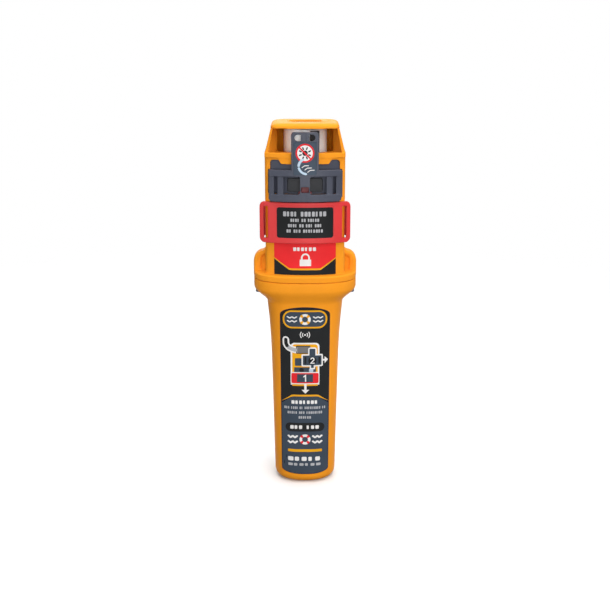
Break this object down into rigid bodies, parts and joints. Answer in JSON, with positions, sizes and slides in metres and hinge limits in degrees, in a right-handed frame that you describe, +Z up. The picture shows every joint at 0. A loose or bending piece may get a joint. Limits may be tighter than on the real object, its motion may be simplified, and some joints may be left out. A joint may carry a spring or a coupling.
{
  "type": "emergency position beacon",
  "caption": "Hand-held man-overboard position beacon: waisted handle, flanged waterproof shells, wound steel tape antenna under a cap, pull-off release clip and sliding lock.",
  "frame": {"origin": "middle of the flat end of the handle, on the upright axis of the neck and the wound tape", "axes": "+Z up the beacon from the handle to the cap, front with the clip and labels faces -Y, +X to the right seen from the front"},
  "size_m": [0.038, 0.0289, 0.137],
  "materials": {
    "yellow_plastic": "satin moulded plastic",
    "slate_plastic": "satin moulded plastic",
    "dark_plastic": "fine matt moulded plastic",
    "red_plastic": "satin moulded plastic",
    "black_rubber": "matt rubber",
    "screw_steel": "dark passivated steel",
    "tape_steel": "satin rolled steel",
    "clear_lens": "clear moulded lens with an amber cast",
    "blue_window": "pale blue light guide",
    "white_led": "white lamp body",
    "circuit_board": "green solder mask",
    "chip_black": "moulded chip bodies",
    "shield_metal": "bright nickel",
    "ceramic": "fired ceramic with a silver face",
    "gold_pin": "gold plated",
    "cell_wrap": "shrunk film over a steel can",
    "clear_sleeve": "blue shrink sleeve",
    "red_wire": "wire insulation",
    "foam": "closed-cell foam",
    "copper": "copper on film",
    "clip_print": "satin printed film",
    "slider_print": "satin printed film",
    "neck_print": "satin printed film",
    "handle_print": "satin printed film",
    "rear_print": "satin printed film"
  },
  "bodies": {
    "beacon": {"lower_housing": "yellow_plastic", "upper_housing": "yellow_plastic", "flange_gasket": "black_rubber", "housing_screws": "screw_steel", "top_cap": "yellow_plastic", "strobe_lens": "clear_lens", "strobe_led": "white_led", "strobe_board": "circuit_board", "strobe_leads": "red_wire", "antenna_drum": "dark_plastic", "antenna_tape": "tape_steel", "tape_end": "dark_plastic", "drum_screw": "screw_steel", "feed_pin": "gold_pin", "feed_grommet": "black_rubber", "sensor_panel": "slate_plastic", "sensor_cover": "dark_plastic", "button_panel": "slate_plastic", "button_seal": "black_rubber", "indicator_window": "blue_window", "status_led": "white_led", "switch_board": "circuit_board", "dome_switch": "shield_metal", "magnet_sensor": "chip_black", "board_header": "dark_plastic", "main_board": "circuit_board", "board_chips": "chip_black", "radio_shield": "shield_metal", "radio_chips": "chip_black", "satellite_antenna": "ceramic", "board_screws": "screw_steel", "lower_cell": "cell_wrap", "upper_cell": "cell_wrap", "cell_strap": "shield_metal", "battery_sleeve": "clear_sleeve", "battery_tabs": "shield_metal", "battery_foam": "foam", "near_field_coil": "copper", "neck_label": "neck_print", "front_label": "handle_print", "rear_label": "rear_print"},
    "clip": {"release_clip": "slate_plastic", "clip_label": "clip_print", "clip_magnet": "shield_metal"},
    "slider": {"lock_slider": "red_plastic", "slider_label": "slider_print"},
    "button": {"power_button": "dark_plastic"}
  },
  "joints": [
    {"name": "slider_slide", "type": "slide", "parent": "beacon", "child": "slider", "axis": [0, 0, -1], "range_m": [0, 0.0112]},
    {"name": "clip_release", "type": "hinge", "parent": "beacon", "child": "clip", "pos_m": [0, 0.0222, 0.122], "axis": [0, 0, 1], "range_deg": [0, 60]},
    {"name": "button_press", "type": "slide", "parent": "beacon", "child": "button", "axis": [0, 1, 0], "range_m": [0, 0.0008], "stiffness_N_per_m": 1500}
  ]
}
